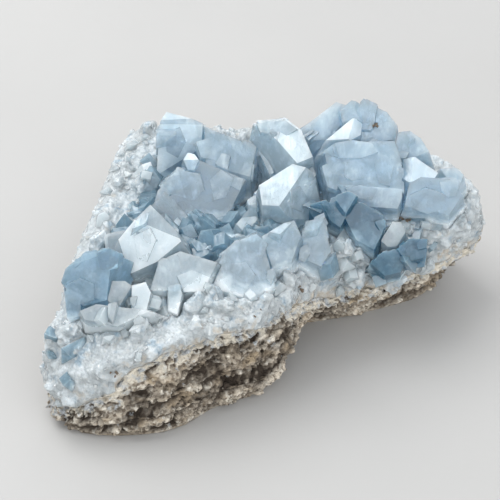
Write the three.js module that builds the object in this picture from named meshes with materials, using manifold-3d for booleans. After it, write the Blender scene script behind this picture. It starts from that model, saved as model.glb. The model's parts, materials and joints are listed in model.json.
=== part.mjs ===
// A celestite crystal cluster: a broken slab of pale marl whose upper side is the crystal-lined wall of a
// vug. A sugary crust of small celestite crystals coats the rock, and larger blocky crystals stand in it.
// Millimetres, +Z up. The rock's underside is cut flat where the specimen rests.

import * as THREE from "three";
import { ConvexGeometry } from "three/addons/geometries/ConvexGeometry.js";
import { mergeVertices } from "three/addons/utils/BufferGeometryUtils.js";
import Module from "manifold-3d";

const wasm = await Module();
wasm.setup();

// Driving dimensions
const SEAT_GAP = 0.3; // clearance between touching pieces
const SIDES = 48; // steps round the rock's outline
const ROCK_TOP = 20; // the rock under the crust
const CRUST_TOP = 26.5; // the crust between the large crystals
const CRUST_RISE = 0.08; // how much higher it lies for each mm towards the back
const CRUST_OVERHANG = 1; // how far the crust stands out past the rock below it
const CRUST_FOOT = 8; // how deep the crust's solid reaches below the rock's top before the rock is cut away
const LEDGE = 1.1; // how far the rock's bedding ledges stand out
const SHOULDER_ROUND = 0.6; // how far the rock's upper edge is rounded off under the crust
const MIDDLE = new THREE.Vector2(-3, 3); // the outline is seen round this point
const CENTRE_OF_BOX = new THREE.Vector3(3.8, -2.3, 0); // the middle of the specimen's reach

// The outline of the slab from above, anticlockwise from the front foot. At each place: where the foot of
// the wall is, the heights at which the wall turns under and at which crust gives way to bare rock,
// how far in the underside stands, how far the wall leans back, and the height of the crust's shoulder.
const OUTLINE = [
  { at: [-33, -40], under: 1, bare: 12, inset: 1.5, lean: 3, shoulder: 20 },
  { at: [-25, -40], under: 1, bare: 19, inset: 1.5, lean: 5, shoulder: 23 },
  { at: [-17, -38.5], under: 1, bare: 20, inset: 1.5, lean: 6, shoulder: 24 },
  { at: [-7, -32], under: 2, bare: 21, inset: 2.5, lean: 2.5, shoulder: 25 },
  { at: [3, -29], under: 3, bare: 20, inset: 4, lean: 4, shoulder: 24 },
  { at: [9.5, -22], under: 8, bare: 20, inset: 8, lean: 3, shoulder: 25 },
  { at: [13.5, -13], under: 12, bare: 16, inset: 12, lean: 1, shoulder: 25 },
  { at: [23, -8], under: 11, bare: 13.5, inset: 13, lean: 2, shoulder: 25 },
  { at: [31, -5], under: 11, bare: 13, inset: 14, lean: 2, shoulder: 25 },
  { at: [38.5, -1], under: 11, bare: 13, inset: 14, lean: 2, shoulder: 25 },
  { at: [45.5, 3], under: 12, bare: 14, inset: 13, lean: 1, shoulder: 26 },
  { at: [51, 7], under: 13, bare: 15.5, inset: 12, lean: 0, shoulder: 27 },
  { at: [53, 11], under: 13, bare: 16, inset: 11, lean: 1, shoulder: 28 },
  { at: [50, 16.5], under: 9, bare: 21, inset: 9, lean: 1, shoulder: 30 },
  { at: [41, 24], under: 6, bare: 25, inset: 6, lean: 2, shoulder: 32 },
  { at: [28, 31], under: 4, bare: 26, inset: 5, lean: 3, shoulder: 32 },
  { at: [12, 31], under: 3, bare: 26, inset: 5, lean: 2, shoulder: 33 },
  { at: [-6, 31], under: 3, bare: 27, inset: 5, lean: 1, shoulder: 33 },
  { at: [-20, 34], under: 4, bare: 25, inset: 5, lean: 1, shoulder: 31 },
  { at: [-28, 34], under: 5, bare: 23, inset: 4, lean: 1, shoulder: 29.5 },
  { at: [-32, 24], under: 5, bare: 23, inset: 4, lean: 1, shoulder: 29 },
  { at: [-35.5, 8], under: 4, bare: 21, inset: 4, lean: 1, shoulder: 27.5 },
  { at: [-39, -10], under: 4, bare: 19, inset: 3, lean: 1, shoulder: 27 },
  { at: [-41.5, -22], under: 3, bare: 13, inset: 3, lean: 1, shoulder: 25 },
  { at: [-44.5, -28], under: 3, bare: 8, inset: 3, lean: 1, shoulder: 20 },
  { at: [-43.5, -33], under: 2, bare: 6, inset: 3, lean: 1, shoulder: 15 },
  { at: [-39.5, -38.5], under: 1, bare: 7, inset: 2, lean: 2, shoulder: 16 },
];

// How a large crystal widens from its facets down to its root, in degrees
const FLARE = 5;
const FAR_SIDE_FLARE = 16;
const STEEP = 0.8; // an edge that drops by this share of its length no longer sets the slope of its side
const OFF_LINE = 0.35; // a corner of its outline nearer than this to a straight side is left out

// The large crystals. Each is bounded by the facets that show, given by their corners, and runs down to
// its root along the vector of that name.
const REAR_LEFT = [
  // the tall peak
  {
    facets: [
      [[-19, 21.5, 43], [-15, 20, 42.5], [-19.5, 19, 42.5]],
      [[-19.5, 19, 42.5], [-12, 19, 41.5], [-18, 16.5, 40]],
      [[-20.5, 19, 41], [-18, 16.5, 40], [-10.5, 19.5, 40.5], [-11.5, 17, 35.5], [-20.5, 14.5, 33]],
    ],
    root: [0, 1, -14],
  },
  // its shoulder
  {
    facets: [[[-10.5, 19.5, 40], [-1, 16.5, 39], [1.5, 15.5, 37.5], [0, 9, 34], [-10, 11.5, 36]]],
    root: [0, 1, -13],
  },
  // the broad front
  {
    facets: [
      [[-19, 8.5, 34], [-12, 11, 37.5], [-1, 8.5, 33.5], [-6, 2, 26], [-16.5, 1.5, 25.5], [-20, 6, 31]],
    ],
    root: [0, 4, -11],
  },
  // the dark corner
  {
    facets: [[[-22, 2.5, 31], [-19, 5, 33], [-13, 0.5, 28], [-17, -0.5, 26.5]]],
    root: [1, 3, -8],
  },
  // the small step
  {
    facets: [
      [[-15, 10, 38], [-14, 12, 38.5], [-12.5, 11.5, 38.5], [-11.5, 10, 38]],
      [[-15, 10, 38], [-11.5, 10, 38], [-12.5, 9, 36], [-14, 9, 36]],
    ],
    root: [0, 2, -5],
  },
];
const LEFT_FAN = [
  // the bright fan
  {
    facets: [
      [[-25.5, -12.5, 36], [-23.5, -12, 37], [-17.5, -14, 34.5], [-20, -17, 31], [-25.5, -18.5, 29]],
      [[-21.5, -7.5, 39], [-22.5, -12, 37.5], [-17.5, -14, 34.5], [-15, -14.5, 35], [-16, -12.5, 36]],
      [[-27.5, -16, 32.5], [-25.5, -18.5, 29], [-27, -18, 28], [-29.5, -13, 30.5]],
    ],
    root: [2, 4, -11],
  },
  // the pale block
  {
    facets: [
      [[-19.5, -18, 32], [-15, -16.5, 33.5], [-7, -18.5, 32], [-10, -23, 28], [-21.5, -22.5, 27.5]],
    ],
    root: [0, 3, -8],
  },
  // the grey flank
  {
    facets: [[[-31, -11, 33], [-26, -11, 34.5], [-28, -14, 31], [-30.5, -13.5, 30]]],
    root: [1, 3, -6],
  },
];
const LEFT_BLOCK = [
  // the dark block
  {
    facets: [
      [
        [-39, -24, 35], [-33.5, -23, 37.5], [-29, -22.5, 38],
        [-30.5, -26.5, 28.5], [-35.5, -27, 27], [-40, -25, 32],
      ],
      [[-39, -24, 35], [-33.5, -23, 37.5], [-29, -22.5, 38], [-30.5, -22, 38.5], [-35, -22, 37.5]],
    ],
    root: [3, 5, -10],
  },
  // its foot
  {
    facets: [[[-39.5, -25, 30], [-36, -27, 27.5], [-36, -28, 25], [-39, -28, 24.5]]],
    root: [2, 3, -6],
  },
];
const FRONT_CLUSTER = [
  // the grey hexagon
  {
    facets: [
      [
        [-30.5, -24.5, 32], [-26.5, -24.5, 32], [-25, -25, 31],
        [-28, -27.5, 27], [-30.5, -26.5, 28.5], [-31.5, -25.5, 30.5],
      ],
    ],
    root: [0, 3, -7],
  },
  // the white one
  {
    facets: [[[-25, -26, 32], [-22, -25.5, 32.5], [-21, -27, 31], [-22, -29, 27], [-25, -29, 27.5]]],
    root: [0, 3, -7],
  },
  // the slab in front
  {
    facets: [[[-36, -29, 27.5], [-32.5, -28.5, 29], [-21, -29.5, 28], [-28, -31, 25], [-35, -30, 26]]],
    root: [0, 2, -6],
  },
];
const FRONT_PRISM = [
  // the prism
  {
    facets: [
      [
        [-17.5, -23.5, 29.5], [-15, -23, 30], [-14.5, -24.5, 28.5],
        [-15.5, -27, 24.5], [-17.5, -26.5, 25.5],
      ],
    ],
    root: [0, 3, -6],
  },
];
const CENTRE_FRONT = [
  // the rippled front
  {
    facets: [
      [
        [-5.5, -15.5, 33], [-3, -14, 34.5], [2.5, -13.5, 35],
        [5.5, -20, 26.5], [1, -22, 24.5], [-9, -20, 26],
      ],
    ],
    root: [0, 3, -9],
  },
  // the blue one behind it
  {
    facets: [
      [[3.5, -13.5, 36.5], [9.5, -11.5, 38], [5.5, -14, 36]],
      [
        [2.5, -14, 35.5], [5.5, -14, 36], [9.5, -12, 37.5],
        [11, -13, 35], [9, -15.5, 30], [5, -16.5, 28.5],
      ],
    ],
    root: [0, 3, -10],
  },
  // the right one
  {
    facets: [
      [[11.5, -11.5, 34.5], [12, -9.5, 36], [16, -8.5, 36.5], [13.5, -10.5, 35]],
      [
        [11.5, -11.5, 34.5], [13.5, -10.5, 35], [16, -8.5, 36.5],
        [17.5, -12, 30], [15.5, -13.5, 27], [11, -13, 28],
      ],
    ],
    root: [0, 3, -10],
  },
];
const CENTRE_BACK = [
  // the tooth
  {
    facets: [
      [
        [1.5, -1.5, 35.5], [2, 1.5, 37.5], [9.5, 6.5, 39.5],
        [11.5, 5, 39], [7, -3.5, 35.5], [5.5, -4, 35.5],
      ],
      [[1.5, -2, 35.5], [5.5, -4, 35.5], [7, -3.5, 35.5], [9.5, -3, 31.5], [2.5, -3.5, 29]],
      [[11.5, 5, 39], [7, -3.5, 35.5], [9.5, -3, 31.5], [15, 0.5, 28], [16, 2.5, 31], [14, 6, 37.5]],
    ],
    root: [0, 3, -10],
  },
  // the white wedge
  {
    facets: [[[-2.5, -3, 30.5], [1, 0, 34], [1.5, -2.5, 30], [2.5, -3.5, 28.5], [-1, -3, 27]]],
    root: [1, 3, -7],
  },
  // the back block
  {
    facets: [
      [[1.5, 18.5, 42.5], [8, 18, 44], [11.5, 15, 43], [11, 12.5, 42], [4.5, 14, 42]],
      [[4.5, 14, 42], [11, 12.5, 41.5], [14, 8.5, 40], [10.5, 7.5, 39.5]],
      [[1.5, 18.5, 42.5], [4.5, 14.5, 42], [10.5, 7, 39.5], [6.5, 9.5, 33.5], [1, 16.5, 37]],
    ],
    root: [0, 1, -14],
  },
  // the sliver beside it
  {
    facets: [[[0.5, 16, 35.5], [2, 16.5, 37], [3, 15, 36.5], [5, 12, 32], [4, 12, 31]]],
    root: [1, 3, -8],
  },
];
const RIDGE = [
  // the left tip
  {
    facets: [
      [
        [11.5, 16.5, 42], [16, 18.5, 43], [19.5, 21.5, 45.5],
        [24, 21, 44.5], [17.5, 16, 39], [12, 15, 39.5],
      ],
    ],
    root: [0, 1, -15],
  },
  // the white gable
  {
    facets: [
      [[17, 12, 42], [23, 17.5, 44], [22.5, 12.5, 42]],
      [[23, 17.5, 44], [25.5, 18.5, 43], [25, 15.5, 40.5], [22.5, 12.5, 42]],
    ],
    root: [0, 2, -10],
  },
  // the right peak
  {
    facets: [
      [[24, 20.5, 44.5], [26, 21.5, 45.5], [31, 20.5, 44], [33.5, 19, 41], [33, 17, 38], [25, 15.5, 39]],
    ],
    root: [0, 1, -15],
  },
  // the broad body
  {
    facets: [
      [[16.5, 9.5, 40.5], [22.5, 11.5, 42], [32.5, 13, 41], [34, 9, 38], [30, 3, 35], [18, 4, 37]],
      [[18, 4, 37], [30, 3, 35], [34, 3, 32.5], [33, 2, 30], [22.5, 1.5, 32.5]],
    ],
    root: [0, 3, -12],
  },
  // the right tip
  {
    facets: [
      [
        [33.5, 15, 42], [36, 15.5, 42], [38.5, 15, 40.5],
        [40.5, 14, 37.5], [36, 12.5, 36], [33, 13, 38.5],
      ],
    ],
    root: [0, 1, -12],
  },
  // the white roof
  {
    facets: [
      [[37, 10.5, 38.5], [42, 6.5, 37], [41, 5, 36.5], [35.5, 4.5, 36]],
      [[37, 10.5, 38.5], [35.5, 4.5, 36], [34, 6.5, 35.5], [34.5, 11, 37.5]],
    ],
    root: [0, 2, -11],
  },
  // the wing
  {
    facets: [
      [[35.5, 4, 36], [38, 5, 37], [44.5, 5, 36.5], [47.5, 3.5, 33], [44.5, 1, 29.5], [34.5, 1.5, 31.5]],
    ],
    root: [0, 4, -9],
  },
  // the wing's end
  {
    facets: [[[42.5, 7.5, 37.5], [46, 8.5, 37], [48, 8, 35.5], [47, 6.5, 33], [44.5, 6.5, 35]]],
    root: [0, 2, -10],
  },
];
const DEEP_BLUE = [
  // the deep one
  {
    facets: [
      [
        [22, -1.5, 34], [24.5, -1.5, 35], [29.5, -3, 32.5], [29.5, -5, 30],
        [27.5, -7, 26], [23.5, -5.5, 27.5], [21, -3, 32],
      ],
    ],
    root: [0, 4, -8],
  },
  // the one beside it
  {
    facets: [[[16, -1.5, 34.5], [21, -1, 36], [22.5, -2, 35], [20, -4, 30], [18, -3, 30.5]]],
    root: [0, 4, -8],
  },
];
const PALE_ROD = [
  // the rod
  {
    facets: [
      [
        [29, -5.5, 27.5], [31.5, -3.5, 31], [33.5, -3.5, 31],
        [34.5, -4.5, 29], [32.5, -6, 26], [30.5, -6, 26],
      ],
    ],
    root: [0, 3, -6],
  },
];
const WING_DARK = [
  // the dark one
  {
    facets: [
      [
        [27, -9, 23.5], [28.5, -8, 25.5], [32, -8, 27],
        [34.5, -8.5, 24], [33.5, -9, 21], [30, -9.5, 20.5],
      ],
    ],
    root: [0, 4, -6],
  },
  // the one behind it
  {
    facets: [
      [[32.5, -8.5, 27.5], [35, -7.5, 29.5], [39, -7.5, 29.5], [38.5, -9, 25.5], [34.5, -9.5, 24.5]],
    ],
    root: [0, 4, -6],
  },
];

// Crystals of the crust that show singly, on the corner by the front foot and along the wall of the
// right-hand wing: where each stands, and its half length
const CRUST_CRYSTALS = [
  { at: [-39.5, -27.5, 20], size: 2.8 },
  { at: [-37.5, -31, 17.5], size: 3.2 },
  { at: [-39.5, -32.5, 12], size: 2.6 },
  { at: [20.5, -6.5, 25], size: 3.4 },
  { at: [17, -8.5, 22.5], size: 3 },
  { at: [23, -8, 18.5], size: 3.4 },
  { at: [32.5, -5, 15.5], size: 3 },
  { at: [40, -1, 16], size: 2.6 },
  { at: [41, -1, 26.5], size: 3.2 },
  { at: [48, 5, 22], size: 3 },
];

// A small repeatable random stream
function stream(seed) {
  let state = seed;
  return () => {
    state = (state + 0x6d2b79f5) | 0;
    let t = Math.imul(state ^ (state >>> 15), 1 | state);
    t = (t + Math.imul(t ^ (t >>> 7), 61 | t)) ^ t;
    return ((t ^ (t >>> 14)) >>> 0) / 2 ** 32;
  };
}

// A closed geometry as a solid that can be joined and cut
function solidOf(geometry) {
  const bare = geometry.clone();
  bare.deleteAttribute("normal");
  bare.deleteAttribute("uv");
  const merged = mergeVertices(bare, 1e-4);
  return new wasm.Manifold(
    new wasm.Mesh({
      numProp: 3,
      vertProperties: merged.attributes.position.array,
      triVerts: new Uint32Array(merged.index.array),
    }),
  );
}

function geometryOf(solid) {
  const mesh = solid.getMesh();
  const geometry = new THREE.BufferGeometry();
  geometry.setAttribute("position", new THREE.BufferAttribute(mesh.vertProperties, 3));
  geometry.setIndex(new THREE.BufferAttribute(mesh.triVerts, 1));
  return geometry.toNonIndexed();
}

// The point where three planes meet, or nothing where they hardly do
function meeting(a, b, c) {
  const normals = new THREE.Matrix3().set(...a.normal, ...b.normal, ...c.normal);
  if (Math.abs(normals.determinant()) < 1e-4) return null;
  return new THREE.Vector3(a.distance, b.distance, c.distance).applyMatrix3(normals.invert());
}

// The convex body inside a set of planes, each given by its outward normal and its distance along it
function insidePlanes(planes) {
  const corners = [];
  planes.forEach((a, i) => {
    planes.slice(i + 1).forEach((b, j) => {
      planes.slice(i + j + 2).forEach((c) => {
        const p = meeting(a, b, c);
        if (!p || corners.some((q) => q.distanceTo(p) < 1e-3)) return;
        if (planes.every(({ normal, distance }) => normal.dot(p) < distance + 1e-6)) corners.push(p);
      });
    });
  });
  return solidOf(new ConvexGeometry(corners));
}

// The plane that fits a facet's corners best
function facetPlane(points, outward) {
  const centre = new THREE.Vector3();
  points.forEach((p) => centre.addScaledVector(p, 1 / points.length));
  const normal = new THREE.Vector3();
  points.forEach((p, i) => {
    const next = points[(i + 1) % points.length];
    normal.add(p.clone().sub(centre).cross(next.clone().sub(centre)));
  });
  normal.normalize();
  if (normal.dot(outward) < 0) normal.negate();
  return { normal, distance: normal.dot(centre) };
}

// The corners on the boundary of a set of flat points, in turn round it, without those on a straight side
function boundary(points) {
  const sorted = [...points].sort((a, b) => a.x - b.x || a.y - b.y);
  const turn = (o, a, b) => (a.x - o.x) * (b.y - o.y) - (a.y - o.y) * (b.x - o.x);
  const half = (list) => {
    const kept = [];
    for (const p of list) {
      while (kept.length > 1 && turn(kept.at(-2), kept.at(-1), p) <= 0) kept.pop();
      kept.push(p);
    }
    return kept.slice(0, -1);
  };
  const ring = [...half(sorted), ...half(sorted.reverse())];
  const offLine = (a, p, b) => Math.abs(turn(a, p, b)) / Math.hypot(b.x - a.x, b.y - a.y);
  return ring.filter((p, i) => offLine(ring.at(i - 1), p, ring[(i + 1) % ring.length]) > OFF_LINE);
}

// The planes of a large crystal: its facets, a side through each edge of their outline, which spreads
// towards the root and more so on the far side, and a face across the root. Grown moves each outwards.
function crystalPlanes({ facets, root }, grown) {
  const shapes = facets.map((facet) => facet.map((corner) => new THREE.Vector3(...corner)));
  const down = new THREE.Vector3(...root);
  const depth = down.length();
  down.divideScalar(depth);
  const planes = shapes.map((points) => facetPlane(points, down.clone().negate()));
  const across = new THREE.Vector3(1, 0, 0).cross(down).normalize();
  const along = down.clone().cross(across);
  const corners = shapes.flat();
  const ring = boundary(corners.map((p) => ({ x: p.dot(along), y: p.dot(across), corner: p })));
  ring.forEach((from, i) => {
    const to = ring[(i + 1) % ring.length];
    const out = along.clone().multiplyScalar(to.y - from.y);
    out.addScaledVector(across, from.x - to.x).normalize();
    const flare = THREE.MathUtils.degToRad(THREE.MathUtils.lerp(FLARE, FAR_SIDE_FLARE, Math.max(0, out.y)));
    const spread = down.clone().multiplyScalar(Math.cos(flare)).addScaledVector(out, Math.sin(flare));
    const edge = to.corner.clone().sub(from.corner).normalize();
    if (Math.abs(edge.dot(down)) > STEEP) edge.crossVectors(down, out);
    const normal = edge.cross(spread).normalize();
    if (normal.dot(out) < 0) normal.negate();
    planes.push({ normal, distance: Math.max(normal.dot(from.corner), normal.dot(to.corner)) });
  });
  const middle = corners.reduce((sum, p) => sum + p.dot(down) / corners.length, 0);
  planes.push({ normal: down, distance: middle + depth });
  return planes.map(({ normal, distance }) => ({ normal, distance: distance + grown }));
}

// A group of crystals that have grown into one another
function grownTogether(crystals, grown = 0) {
  return wasm.Manifold.union(crystals.map((crystal) => insidePlanes(crystalPlanes(crystal, grown))));
}

// The outline at a share of the way round, with its heights
const rim = new THREE.CatmullRomCurve3(
  OUTLINE.map(({ at }) => new THREE.Vector3(...at, 0)),
  true,
  "centripetal",
);
function edgeAt(share) {
  const place = share * OUTLINE.length;
  const from = OUTLINE[Math.floor(place) % OUTLINE.length];
  const to = OUTLINE[(Math.floor(place) + 1) % OUTLINE.length];
  const blend = THREE.MathUtils.smoothstep(place % 1, 0, 1);
  const edge = { p: rim.getPoint(share) };
  for (const name of ["under", "bare", "inset", "lean", "shoulder"])
    edge[name] = THREE.MathUtils.lerp(from[name], to[name], blend);
  return edge;
}

// Slow swells that keep the surfaces from being flat
function swell(x, y, z) {
  return (
    Math.sin(0.31 * x + 0.17 * z + 1.1) * Math.cos(0.27 * y - 0.21 * z) +
    0.6 * Math.sin(0.73 * y + 0.41 * x - 0.5 * z) * Math.cos(0.61 * x - 0.37 * y + 0.9)
  );
}

// A closed surface from rings of points, each ring being a function of the share of the way round
function ringed(rings, bottom, top) {
  const points = [];
  for (const ring of rings) {
    for (let i = 0; i < SIDES; i += 1) points.push(...ring(i / SIDES));
  }
  points.push(...bottom, ...top);
  const below = rings.length * SIDES;
  const last = below - SIDES;
  const index = [];
  for (let i = 0; i < SIDES; i += 1) {
    const next = (i + 1) % SIDES;
    index.push(below, next, i);
    for (let r = 0; r < rings.length - 1; r += 1) {
      const [a, b] = [r * SIDES + i, r * SIDES + next];
      const [c, d] = [a + SIDES, b + SIDES];
      if ((i + r) % 2) index.push(a, b, d, a, d, c);
      else index.push(a, b, c, b, d, c);
    }
    index.push(last + i, last + next, below + 1);
  }
  const geometry = new THREE.BufferGeometry();
  geometry.setAttribute("position", new THREE.Float32BufferAttribute(points, 3));
  geometry.setIndex(index);
  return geometry;
}

// A point in from the outline: a share of the way out from the middle, then a step out or in
function spoke(p, share, step) {
  const out = new THREE.Vector2(p.x, p.y).sub(MIDDLE);
  const length = out.length();
  return out.multiplyScalar((length * share + step) / length).add(MIDDLE);
}

// The bedding ledges of the broken wall: how far out the rock stands at a share of its height
const BEDS = [
  { at: 0.1, out: -0.4 },
  { at: 0.24, out: 0.9 },
  { at: 0.3, out: -0.6 },
  { at: 0.48, out: 0.7 },
  { at: 0.54, out: -0.7 },
  { at: 0.72, out: 0.8 },
  { at: 0.78, out: -0.4 },
  { at: 0.92, out: 0.4 },
];

const RUN = 3; // sides of the outline along which a ledge stands out alike
const RUN_SHIFT = 0.7; // how much further on the runs of the next ledge begin
const LEAST_LEDGE = 0.3; // a run stands out by this share of its ledge, and by up to CHIPPED more
const CHIPPED = 1.2;
const BED_WAVE = 0.25; // how far a bed rises and falls
const WALL_WAVE = 0.5; // how far the wall swells in and out, as a share of LEDGE

// One line of the bedding round the wall, whose ledges are broken into short runs
function beddingLine({ at, out }, bed) {
  const ledge = Math.floor(bed / 2);
  return (share) => {
    const { p, bare, under, lean } = edgeAt(share);
    const z = THREE.MathUtils.lerp(under, bare, at) + BED_WAVE * swell(p.x, p.y, 9 * at);
    const run = Math.floor((share * SIDES) / RUN + RUN_SHIFT * ledge);
    const standing = out * (LEAST_LEDGE + CHIPPED * stream(31 * run + ledge)());
    const step = LEDGE * (standing + WALL_WAVE * swell(p.x, p.y, 3 * z)) - lean * at;
    return [...spoke(p, 1, step), z];
  };
}

// The rock's rings inside the wall, as shares of the way out from the middle: on the cut underside and on
// the top, where the rock rises from ROCK_TOP towards the wall over the last of these shares
const CUT_RING = 0.45;
const TOP_RINGS = [0.88, 0.68, 0.4];
const RISE_FROM = 0.5;
const TOP_WAVE = 0.4;
// Where the wall turns under it has come in by this share of the inset, and stands this share up
const TURNED_IN = 0.45;
const TURNED_UP = 0.55;
const LEAST_TURN = 0.3;

function matrixRock() {
  const foot = (share, step) => (s) => {
    const { p, inset } = edgeAt(s);
    return [...spoke(p, share, step * inset), 0];
  };
  const turnedUnder = (s) => {
    const { p, under, inset } = edgeAt(s);
    return [...spoke(p, 1, -TURNED_IN * inset), TURNED_UP * under + LEAST_TURN];
  };
  const topOfWall = (s) => {
    const { p, bare, lean } = edgeAt(s);
    return [...spoke(p, 1, -lean - SHOULDER_ROUND), bare];
  };
  const top = (share) => (s) => {
    const { p, bare, lean } = edgeAt(s);
    const q = spoke(p, share, -lean * share);
    const rise = THREE.MathUtils.smoothstep(share, RISE_FROM, 1);
    const z = THREE.MathUtils.lerp(ROCK_TOP, bare + SHOULDER_ROUND, rise);
    return [...q, z + TOP_WAVE * swell(q.x, q.y, 0)];
  };
  const wall = [turnedUnder, ...BEDS.map(beddingLine), topOfWall];
  const rings = [foot(CUT_RING, 0), foot(1, -1), ...wall, ...TOP_RINGS.map(top)];
  return solidOf(ringed(rings, [...MIDDLE, 0], [...MIDDLE, ROCK_TOP]));
}

// The same closed surface moved out along its own normals
function swollen(solid, by) {
  const geometry = mergeVertices(geometryOf(solid), 1e-4);
  geometry.computeVertexNormals();
  const { position, normal } = geometry.attributes;
  const p = new THREE.Vector3();
  const n = new THREE.Vector3();
  for (let i = 0; i < position.count; i += 1) {
    n.fromBufferAttribute(normal, i);
    p.fromBufferAttribute(position, i).addScaledVector(n, by);
    position.setXYZ(i, ...p);
  }
  return solidOf(geometry);
}

const CRUST_WAVE = 0.9; // how far the crust's upper side rises and falls
const SHOULDER_BAND = 0.25; // the share of the way in over which it comes down from the shoulder
const WALL_LUMP = 0.6; // how far the crust's outer wall swells in and out
const LUMP_CROWDING = 1.7; // how much closer its lumps lie than the rock's swells

// The crust's surface inside its shoulder, at a share of the way out from the middle
function onCrust(edge, share) {
  const q = spoke(edge.p, share, -edge.lean * share);
  const flat = CRUST_TOP + CRUST_RISE * q.y + CRUST_WAVE * swell(q.x, q.y, 4);
  const inward = Math.min(1, (1 - share) / SHOULDER_BAND);
  return new THREE.Vector3(q.x, q.y, THREE.MathUtils.lerp(edge.shoulder, flat, inward));
}

// The crust's outer wall at a share of its rise from bare rock to shoulder
function onWall({ p, bare, lean, shoulder }, rise, step) {
  const z = THREE.MathUtils.lerp(bare, shoulder, rise);
  const lump = WALL_LUMP * swell(LUMP_CROWDING * p.x, LUMP_CROWDING * p.y, z);
  return new THREE.Vector3(...spoke(p, 1, step + lump - lean), z);
}

// The crust's rings: its hem inside the rock, its wall from bare rock to shoulder, each with its share of
// the overhang, and its upper side, as shares of the way out from the middle
const HEM = { share: 0.75, below: 1 };
const CRUST_WALL = [
  { rise: -0.1, overhang: 0.1 },
  { rise: 0.14, overhang: 1 },
  { rise: 0.5, overhang: 1 },
  { rise: 0.86, overhang: 0.4 },
];
const CRUST_RINGS = [0.93, 0.82, 0.62, 0.4];

function crustCap() {
  const hem = (s) => {
    const { p, bare } = edgeAt(s);
    return [...spoke(p, HEM.share, 0), bare - HEM.below];
  };
  const wall = ({ rise, overhang }) => (s) => [...onWall(edgeAt(s), rise, overhang * CRUST_OVERHANG)];
  const top = (share) => (s) => [...onCrust(edgeAt(s), share)];
  const rings = [hem, ...CRUST_WALL.map(wall), ...CRUST_RINGS.map(top)];
  return solidOf(ringed(rings, [...MIDDLE, ROCK_TOP - CRUST_FOOT], [...MIDDLE, CRUST_TOP]));
}

// Celestite's angles in degrees, and how far the faces of a small crystal stand from its middle, as shares
// of its half length: the two that end it in a wedge, its back, and its sides in either form
const BASE_TO_DOME = 52;
const PRISM_HALF_ANGLE = 38;
const WEDGE = 0.7;
const BACK = 0.9;
const SQUARE = { wide: 0.55, thick: 0.42 };
const RHOMBIC = 0.46;

// One small crystal of the crust: a rhombic or a square prism that ends in a wedge of two faces
function smallCrystal(at, axis, spin, size, square) {
  const turn = new THREE.Quaternion().setFromUnitVectors(new THREE.Vector3(1, 0, 0), axis);
  turn.multiply(new THREE.Quaternion().setFromAxisAngle(new THREE.Vector3(1, 0, 0), spin));
  const dome = THREE.MathUtils.degToRad(BASE_TO_DOME);
  const prism = THREE.MathUtils.degToRad(PRISM_HALF_ANGLE);
  const planes = [];
  const face = (x, y, z, distance) => {
    const normal = new THREE.Vector3(x, y, z).applyQuaternion(turn);
    planes.push({ normal, distance: distance * size + normal.dot(at) });
  };
  for (const side of [1, -1]) {
    if (square) {
      face(0, side, 0, SQUARE.wide);
      face(0, 0, side, SQUARE.thick);
    } else {
      face(0, side * Math.sin(dome), Math.cos(dome), RHOMBIC);
      face(0, side * Math.sin(dome), -Math.cos(dome), RHOMBIC);
    }
    face(Math.cos(prism), side * Math.sin(prism), 0, WEDGE);
  }
  face(-1, 0, 0, BACK);
  return insidePlanes(planes);
}

// The strewn crystals of the crust: how many, their half length from least to most, how far they lean
// outward, and in which band of the way out from the middle they stand
const GAP = { count: 20, size: [2.8, 5.2], lean: 0.3, band: [0.1, 0.86] };
const RIM = { count: 44, size: [1.7, 3.2], lean: 0.5, band: [0.86, 0.96] };
const ON_WALL = { from: 0.45, lean: 2, sunk: 0.2 }; // the rim's crystals below this drop stand on the wall
const SINGLE_LEAN = 1.2;
const UPWARD = 1.4; // how much a crystal's rise outweighs its stray
const CLEAR = 0.5; // how far from a large crystal a strewn one keeps
const SQUARE_SHARE = 0.6; // how many of them are square

// The crust's crystals: those that show singly, wider ones strewn in the gaps between the large crystals,
// and finer ones along the rim and down the wall
function crustCrystals() {
  const next = stream(11);
  const between = ([least, most], share) => least + (most - least) * share;
  const made = [];
  const large = Object.values(pieces).flatMap(({ crystals }) => crystals);
  const bodies = large.map((crystal) => crystalPlanes(crystal, CLEAR));
  const within = (p) => ({ normal, distance }) => normal.dot(p) < distance;
  const hidden = (p) => bodies.some((planes) => planes.every(within(p)));
  const stand = (at, lean, size) => {
    const away = new THREE.Vector3(at.x - MIDDLE.x, at.y - MIDDLE.y, 0).normalize();
    const stray = new THREE.Vector3(next() - 0.5, next() - 0.5, UPWARD);
    const axis = away.multiplyScalar(lean).add(stray).normalize();
    made.push(smallCrystal(at, axis, Math.PI * next(), size, next() < SQUARE_SHARE));
  };
  for (const { at, size } of CRUST_CRYSTALS) stand(new THREE.Vector3(...at), SINGLE_LEAN, size);
  while (made.length < CRUST_CRYSTALS.length + GAP.count) {
    const at = onCrust(edgeAt(next()), between(GAP.band, Math.sqrt(next())));
    if (!hidden(at)) stand(at, GAP.lean, between(GAP.size, next()));
  }
  for (let n = 0; n < RIM.count; n += 1) {
    const edge = edgeAt((n + next()) / RIM.count);
    const drop = next();
    const onRim = drop < ON_WALL.from;
    const at = onRim ? onCrust(edge, between(RIM.band, next())) : onWall(edge, 1 - drop, -ON_WALL.sunk);
    if (!hidden(at)) stand(at, onRim ? RIM.lean : ON_WALL.lean, between(RIM.size, next()));
  }
  return made;
}

const look = (color, roughness) => new THREE.MeshStandardMaterial({ color, roughness, metalness: 0 });
const marl = look(0x9a8f80, 0.95);
const crustWhite = look(0xc9d3d8, 0.6);
const skyBlue = look(0x9fb8c8, 0.15);
const deepBlue = look(0x4f7896, 0.12);
const frostBlue = look(0xbccbd2, 0.2);

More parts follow.
